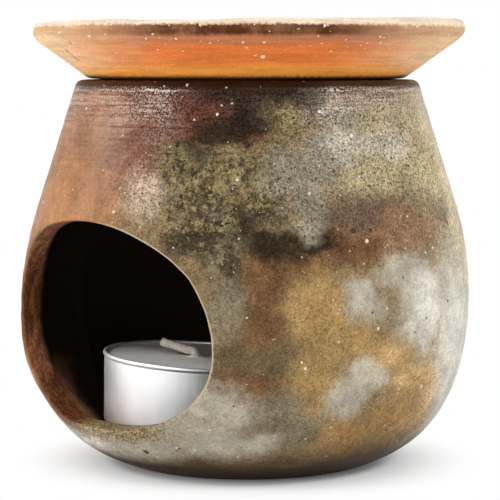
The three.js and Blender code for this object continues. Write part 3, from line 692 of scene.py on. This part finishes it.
def dishFinish():
    f = newFinish("flashedDishClay")
    at = f.place()
    x, y, z = f.parts(at)
    up = z - dishSeat()
    turn = f.bearing(x, y)
    size = abs(turn)
    size = size & (dish["fold"] - size)  # the back is flashed like the front
    coarse, fine, dust = f.grain(at, 4.5, 4, 0.65), f.grain(at, 0.8, 3, 0.7), f.grain(at, 0.3, 2, 0.6)
    sway, stir = coarse - 0.5, fine - 0.5
    level = up + sway * 2.4 + stir * 1.2
    colour = f.mix(f.step(level, *dish["mauveLevel"]) * 0.85, dish["orange"], dish["mauve"])
    colour = f.mix(f.step(size + sway * 0.4, *dish["pinkSide"]) * 0.95, colour, dish["pink"])
    colour = f.mix(f.step(level, *dish["goldLevel"]) * f.step(size, 1.5, 0.7, (0.5, 1.0)), colour, dish["gold"])
    front = f.step(size + sway * 0.35, *dish["frontSide"])
    seam = up + sway * 0.9 + stir * 0.9
    band = f.step(seam, *dish["bandFoot"]) * f.step(seam, *dish["bandTop"])
    scorched = f.mix(front * f.step(coarse, 0.3, 0.6, (0.6, 1.0)), dish["grey"], dish["burnt"])
    colour = f.mix(band * (0.5 + front * 0.5), colour, scorched)
    colour = f.mix(f.step(seam, *dish["lipLevel"]) * 0.9, colour, dish["lip"])
    # dark line along the underside edge where the dish sits on the pot: painted shadow
    colour = f.mix(f.step(up + stir * 0.8, *dish["edgeShadowLevel"]) * 0.85, colour, dish["edge"])
    well = f.node("ShaderNodeAttribute", {"attribute_name": "well"}, None, 2)
    deep = (x * x + y * y) ** 0.5 + sway * 26 + (f.grain(at, 12) - 0.5) * 20
    wellTone = f.mix(f.step(deep, 34, 14) * f.step(fine, 0.3, 0.6, (0.5, 1.0)), dish["well"], dish["wellAsh"])
    colour = f.mix(f.step(well + stir * 0.4, 0.3, 0.8), colour, wellTone)
    colour = f.shade(colour, f.fade(dust * 0.6 + fine * 0.4, 0.32, 0.68, (0.86, 0.84, 0.82), (1.13, 1.12, 1.11)))
    flow = f.grain(f.vector("MULTIPLY", at, dish["flow"]), 0.7, 3, 0.65)
    colour = f.shade(colour, f.fade(flow, 0.35, 0.65, (0.88, 0.86, 0.83), (1.08, 1.08, 1.06)))
    loose = f.drift(at, f.grain(at, 0.6, 2, 0.6, 1), 0.6)
    specks = f.dots(loose, *dish["crowdSpeck"]) * f.step(up, 3.5, 6.5) | f.dots(loose, *dish["midSpeck"])
    specks = specks | f.dots(loose, *dish["bigSpeck"])
    pits = f.dots(loose, *dish["pinhole"]) | f.dots(loose, *dish["burst"])
    fromTurn, fromUp, toTurn, toUp = dish["crack"]
    along = (up - fromUp) / (toUp - fromUp)
    aside = (turn - math.radians(fromTurn) - along * math.radians(toTurn - fromTurn)) * dish["radius"] + stir * 1.6
    crack = f.step(abs(aside), 0.4, 0.12) * f.step(along, 0.0, 0.1) * f.step(along, 1.0, 0.8) * (1 - well)
    colour = f.mix((pits | crack) * 0.8, colour, dish["pit"])
    colour = f.mix(specks * 0.9, colour, dish["speck"])
    lines = up.maths("SINE", (up + (f.grain(at, 10) - 0.5) * 3) * (2 * math.pi / dish["turningPitch"]))
    relief = fine * 0.6 + dust * 0.4 + coarse * 0.8 + lines * 0.06 + specks * 0.6 - pits - crack * 1.5
    sheen = f.step(coarse * 0.5 + fine * 0.5, 0.3, 0.7, (0.48, 0.68))
    return f.surface(Base_Color=colour, Roughness=sheen, Normal=f.bump(relief, 0.55, 0.35 * mm),
                     Specular_IOR_Level=0.12)


# the tealight, in millimetres in its own leaning frame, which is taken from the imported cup
tealight = {
    "cupRadius": 18.7, "cupBase": 18.2, "cupHeight": 15.4, "cupCorner": 2.2, "cupWall": 0.35, "lip": 0.45,
    "underside": [(0, 0.5), (5, 0.5), (12.6, 0.45), (13.2, 0.12), (13.8, 0)],
    "floorStep": 13.2, "cupFloor": [(12.6, 0.8), (5, 0.85), (0, 0.85)], "flutes": 60, "fluteDepth": 0.012,
    "waxBelowLip": 0.7, "waxGap": 0.05, "waxGround": 0.6, "moundHeight": 0.6, "moundRadius": 4.6, "columns": 192,
    "wickRadius": 0.86, "wickGap": 0.08, "wickFoot": 0.9, "wickReach": 7.6, "tipRise": 2.5, "bendRise": 1.35,
    "bendRun": 1.6, "wickToward": -148, "wickColumns": 30, "strands": 3, "twist": 1.35, "frayed": 0.9,
    "upright": 0.25, "raised": 0.15, "plateRadius": 6.2, "plate": 0.3, "neckRadius": 1.5, "neckHeight": 3.2,
    "foil": (0.95, 0.95, 0.95), "foilBright": (0.98, 0.98, 0.98), "foilDull": (0.6, 0.6, 0.62),
    "wax": (0.94, 0.9, 0.87), "waxPale": (0.98, 0.95, 0.92), "waxMilky": (0.95, 0.93, 0.91),
    "waxDust": (0.5, 0.45, 0.42),
    "cotton": (0.7, 0.63, 0.5), "cottonPale": (0.84, 0.79, 0.68), "cottonDark": (0.4, 0.34, 0.25),
    "tin": (0.5, 0.49, 0.46), "tinPale": (0.66, 0.65, 0.62),
}


def cupFrame():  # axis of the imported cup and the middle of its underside, in metres
    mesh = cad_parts["tealight_cup"].data
    centres, areas = np.empty(len(mesh.polygons) * 3), np.empty(len(mesh.polygons))
    mesh.polygons.foreach_get("center", centres)
    mesh.polygons.foreach_get("area", areas)
    centres = centres.reshape(-1, 3)
    middle = (centres * areas[:, None]).sum(0) / areas.sum()
    values, axes = np.linalg.eigh(((centres - middle) * areas[:, None]).T @ (centres - middle))
    axis = axes[:, int(np.argmax([abs(v - np.delete(values, i).mean()) for i, v in enumerate(values)]))]
    axis = axis * np.sign(axis[2])
    corners = np.empty(len(mesh.vertices) * 3)
    mesh.vertices.foreach_get("co", corners)
    origin = middle + axis * ((corners.reshape(-1, 3) - middle) @ axis).min()
    print("cup stands at", origin / mm, "leans", math.degrees(math.acos(axis[2])))
    plumb = Vector(axis).rotation_difference(Vector((0, 0, 1))).to_euler()
    upright = Euler([a * tealight["upright"] for a in plumb]).to_matrix()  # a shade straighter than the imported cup
    lean = np.array(upright) @ np.array(Vector((0, 0, 1)).rotation_difference(Vector(axis)).to_matrix())
    return lean, origin + np.array((0, 0, tealight["raised"] * mm))


cupTurn, cupOrigin = cupFrame()


def stood(points):  # from the tealight's own millimetres to metres in the frame
    return (np.asarray(points) * mm) @ cupTurn.T + cupOrigin


def cupSide(z):  # radius of the cup's tapered side
    k = tealight
    return k["cupBase"] + (k["cupRadius"] - k["cupBase"]) * (z - k["cupCorner"]) / (
        k["cupHeight"] - 2 * k["lip"] - k["cupCorner"])


def waxEdge(z):  # just clear of the tapered cup
    return cupSide(z) - tealight["cupWall"] - tealight["waxGap"]


def buildCup():
    k = tealight
    high, lip, wall = k["cupHeight"], k["lip"], k["cupWall"]
    out, base, corner = k["cupRadius"], k["cupBase"], k["cupCorner"]
    foot, inR, inBase = high - 2 * lip, out - wall, base - wall
    side = [(cupSide(z), z) for z in [*np.linspace(corner, foot - 0.9, 16)[1:], foot - 0.6, foot - 0.3]]
    roll = [(out - wall * 0.2 + lip * 0.882 * math.cos(a), high - lip + lip * math.sin(a))
            for a in np.linspace(-math.pi / 2, math.pi * 0.85, 14)]
    line = np.vstack([
        k["underside"], bend((base - corner, 0), (base, 0), (base, corner), 9),
        side, roll, [(inR, high - 1.3 * lip), (inR, foot - 0.6)],
        [(cupSide(z) - wall, z) for z in np.linspace(foot - 1.4, corner, 6)],
        bend((inBase, corner), (inBase, wall), (inBase - corner, wall), 6)[1:],
        [(k["floorStep"], wall)], k["cupFloor"]])
    points, rows = spun(line, k["columns"])
    angle = np.arctan2(points[:, 0], points[:, 1])
    skin = (points[:, 2] > corner) & (points[:, 2] < foot - 0.5)
    flutes = np.sin(angle * k["flutes"]) * k["fluteDepth"] + wander(points, 6, 0.05, 8)
    points[:, :2] *= (1 + np.where(skin, flutes / out, 0))[:, None]
    points[:, 2] += np.where(points[:, 2] > high - 1.2 * lip, wander(points, 9, 0.12, 9), 0)
    addMesh("foilCup", stood(points), strips(rows), cupFinish(), "tealight", "tealight_cup")


def cupFinish():
    f = newFinish("pressedFoil")
    at = f.place()
    cloud, fine = f.grain(at, 5, 3, 0.6), f.grain(at, 0.5, 2, 0.6)
    draw = f.grain(f.vector("MULTIPLY", at, (1.0, 1.0, 0.15)), 1.2, 3, 0.6)  # drawing marks run up the side
    tint = f.fade(cloud, 0.35, 0.7, tealight["foil"], tealight["foilBright"])
    tint = f.mix(f.step(fine, 0.66, 0.78) * 0.3, tint, tealight["foilDull"])
    shine = f.step(cloud * 0.5 + draw * 0.5, 0.3, 0.7, (0.5, 0.58))
    normal = f.bump(draw * 0.3 + cloud * 0.5 + fine * 0.05, 0.08, 0.2 * mm)
    return f.surface(Base_Color=tint, Metallic=0.9, Roughness=shine, Normal=normal)


def buildWax():
    k = tealight
    fill = k["cupHeight"] - k["waxBelowLip"]
    bore, gap = k["wickRadius"] + k["wickGap"], k["wickGap"]
    ground = k["cupWall"] + k["waxGap"] + k["waxGround"]
    plate, neck = k["plateRadius"] + gap, k["neckRadius"] + gap
    plateTop, neckTop = ground + k["plate"] + gap, ground + k["neckHeight"] + gap
    edge, brim, peak = waxEdge(k["cupCorner"]), waxEdge(fill), (bore, fill + k["moundHeight"])
    line = np.vstack([
        [peak, (bore, neckTop), (neck, neckTop), (neck, plateTop), (plate, plateTop), (plate, ground),
         (edge - k["cupCorner"], ground)],
        bend((edge - k["cupCorner"], ground), (edge, ground), (edge, k["cupCorner"] + 0.4), 6)[1:],
        [(waxEdge(z), z) for z in np.linspace(4, fill - 0.2, 6)],
        [(brim - 0.02, fill + 0.22), (brim - 0.3, fill + 0.1)],
        [(r, fill) for r in np.linspace(brim - 1.2, k["moundRadius"], 22)],
        bend((k["moundRadius"], fill), (bore + 0.3, fill), peak, 10)[1:-1]])
    points, rows = spun(line, k["columns"])
    reach = np.hypot(points[:, 0], points[:, 1])
    face = (points[:, 2] > fill - 0.1) & (reach < brim - 0.5)
    points[:, 2] += np.where(face, wander(points, 7, 0.16, 10) + wander(points, 2.2, 0.06, 11), 0)
    addMesh("waxFill", stood(points), strips(rows + [rows[0]]), waxFinish(), "tealight", "tealight_wax")


def waxFinish():
    f = newFinish("paraffin")
    at = f.place()
    cloud, fine, dust = f.grain(at, 4, 4, 0.65), f.grain(at, 0.6, 3, 0.7), f.grain(at, 0.22, 2, 0.6)
    tint = f.fade(cloud, 0.35, 0.68, tealight["wax"], tealight["waxPale"])
    tint = f.mix(f.step(fine, 0.55, 0.75) * 0.35, tint, tealight["waxMilky"])
    tint = f.mix(f.step(dust, 0.56, 0.68) * 0.45, tint, tealight["waxDust"])
    sheen = f.step(cloud * 0.6 + fine * 0.4, 0.3, 0.7, (0.38, 0.6))
    normal = f.bump(fine * 0.6 + dust * 0.6 + cloud * 0.3, 0.8, 0.25 * mm)
    return f.surface(Base_Color=tint, Roughness=sheen, Normal=normal, Specular_IOR_Level=0.0)


def buildWick():
    k = tealight
    fill = k["cupHeight"] - k["waxBelowLip"]
    toward = math.radians(k["wickToward"])
    out, up = np.array([math.cos(toward), math.sin(toward), 0]), np.array([0, 0, 1.0])

    def spot(run, high):
        return out * run + up * high

    start, turnAt = spot(0, k["wickFoot"]), spot(0, fill + k["moundHeight"])
    tip, bendEnd = spot(k["wickReach"], fill + k["tipRise"]), spot(k["bendRun"], fill + k["bendRise"])
    path = np.vstack([[start + (turnAt - start) * s for s in np.linspace(0, 1, 30)],
                      bend(turnAt, spot(0, fill + k["bendRise"]), bendEnd, 12)[1:],
                      [bendEnd + (tip - bendEnd) * s for s in np.linspace(0, 1, 40)[1:]]])
    run = np.concatenate([[0], np.cumsum(np.linalg.norm(np.diff(path, axis=0), axis=1))])
    along = np.gradient(path, axis=0)
    along /= np.linalg.norm(along, axis=1)[:, None]
    across = np.cross(out, up)
    over = np.cross(across, along)
    count, points, rows = k["wickColumns"], [], []
    for i, centre in enumerate(path):
        frayed = np.clip((run[i] - run[-1] + k["frayed"]) / k["frayed"], 0, 1)
        row = []
        for j in range(count):
            a = j / count * 2 * math.pi
            ridge = abs(math.cos(k["strands"] * (a + run[i] * k["twist"]) / 2)) ** 0.6
            r = k["wickRadius"] * (0.9 + 0.1 * ridge) * (1 + 0.06 * frayed * math.sin(7 * a))
            row.append(len(points))
            points.append(centre + across * r * math.cos(a) + over[i] * r * math.sin(a))
        rows.append(row)
    points += [path[0] - along[0] * 0.1, path[-1] + along[-1] * 0.12]  # the middle of each end
    rows = [[len(points) - 2] * count] + rows + [[len(points) - 1] * count]
    addMesh("braidedWick", stood(points), strips(rows), wickFinish(), "tealight", "wick")


def wickFinish():
    f = newFinish("waxedCotton")
    at = f.place()
    fibre, cloud = f.grain(at, 0.25, 3, 0.7), f.grain(at, 1.6, 3, 0.6)
    tint = f.fade(cloud, 0.35, 0.7, tealight["cotton"], tealight["cottonPale"])
    tint = f.mix(f.step(fibre, 0.55, 0.75) * 0.4, tint, tealight["cottonDark"])
    normal = f.bump(fibre + cloud * 0.4, 0.5, 0.15 * mm)
    return f.surface(Base_Color=tint, Roughness=f.step(fibre, 0.3, 0.7, (0.6, 0.85)), Normal=normal)


def dressSustainer():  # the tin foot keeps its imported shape
    f = newFinish("pressedTin")
    at = f.place()
    cloud, scratch = f.grain(at, 2, 3, 0.6), f.grain(at, 0.3, 2, 0.6)
    tint = f.fade(cloud, 0.35, 0.7, tealight["tin"], tealight["tinPale"])
    normal = f.bump(cloud * 0.6 + scratch * 0.4, 0.3, 0.15 * mm)
    material = f.surface(Base_Color=tint, Metallic=1.0, Roughness=f.step(scratch, 0.3, 0.7, (0.3, 0.5)), Normal=normal)
    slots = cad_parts["wick_sustainer"].data.materials
    slots.clear()
    slots.append(material)
    print("dressed wick_sustainer")


# floor and white room; each soft panel with its degrees aside from the camera, degrees up, width, height and power
studio = {
    "floor": 0.88, "floorHalf": 3.0, "glow": 0.22, "sky": 0.27,
    "shadowNear": 20, "shadowFar": 48, "glowNear": 45, "glowFar": 90, "away": 0.8, "aimHeight": 0.04,
    "panels": {"rightPanel": (53, 36, 0.42, 0.16, 3.2), "leftPanel": (-67, 35, 0.42, 0.16, 2.6),
               "lowPanel": (-62, 15, 1.6, 0.2, 2.7), "topPanel": (0, 85, 0.7, 0.7, 0.9)},
}
white = (1, 1, 1)


def rays(f):  # the camera's rays, and all rays that show the background
    camera, glossy, clear = [f.node("ShaderNodeLightPath", None, None, "Is %s Ray" % kind)
                             for kind in ("Camera", "Glossy", "Transmission")]
    return camera, camera | glossy | clear


def addFloor():
    f = newFinish("paleFloor")
    camera, shown = rays(f)
    x, y = f.parts(f.place())[:2]
    reach = (x * x + y * y) ** 0.5
    paper = f.node("ShaderNodeBsdfDiffuse", None, {"Color": (studio["floor"],) * 3})
    bright, faint = [f.node("ShaderNodeEmission", None, {"Color": white, "Strength": level})
                     for level in (1.0, studio["glow"])]
    table = f.node("ShaderNodeAddShader", None, {0: paper, 1: faint})
    glow = f.step(reach, studio["glowNear"], studio["glowFar"]) * (1 - camera)
    lit = f.node("ShaderNodeMixShader", None, {0: glow, 1: paper, 2: table})
    beyond = shown * f.step(reach, studio["shadowNear"], studio["shadowFar"])  # white outside the shadow
    mixed = f.node("ShaderNodeMixShader", None, {0: beyond, 1: lit, 2: bright})
    f.node("ShaderNodeOutputMaterial", None, {"Surface": mixed})
    size = studio["floorHalf"]
    mesh = bpy.data.meshes.new("floor")
    mesh.from_pydata([(-size, -size, 0), (size, -size, 0), (size, size, 0), (-size, size, 0)], [], [(0, 1, 2, 3)])
    mesh.materials.append(f.owner)
    floor = bpy.data.objects.new("floor", mesh)
    bpy.context.scene.collection.objects.link(floor)


def addRoom():  # white to the eye and in reflections, dimmer as a light
    f = Finish(bpy.data.worlds.new("whiteRoom"))
    dim, bright = [f.node("ShaderNodeBackground", None, {"Color": white, "Strength": level})
                   for level in (studio["sky"], 1.0)]
    mixed = f.node("ShaderNodeMixShader", None, {0: rays(f)[1], 1: dim, 2: bright})
    f.node("ShaderNodeOutputWorld", None, {"Surface": mixed})
    bpy.context.scene.world = f.owner


def addPanel(name, side, rise, width, tall, power):  # soft panel aimed at the pot
    lamp = bpy.data.lights.new(name, "AREA")
    lamp.shape, lamp.size, lamp.size_y, lamp.energy = "RECTANGLE", width, tall, power
    panel = bpy.data.objects.new(name, lamp)
    turn, tilt = math.radians(lookFrom["azimuth"] + side), math.radians(rise)
    spot = Vector((math.sin(turn) * math.cos(tilt), -math.cos(turn) * math.cos(tilt), math.sin(tilt))) * studio["away"]
    panel.location = spot + Vector((0, 0, studio["aimHeight"]))
    panel.rotation_euler = (-spot).to_track_quat("-Z", "Y").to_euler()
    bpy.context.scene.collection.objects.link(panel)


addFloor()
addRoom()
for name, values in studio["panels"].items():
    addPanel(name, *values)
bpy.context.scene.view_settings.view_transform = "Standard"
print("stage and light set")

buildPot()
buildDish()
buildCup()
buildWax()
buildWick()
dressSustainer()
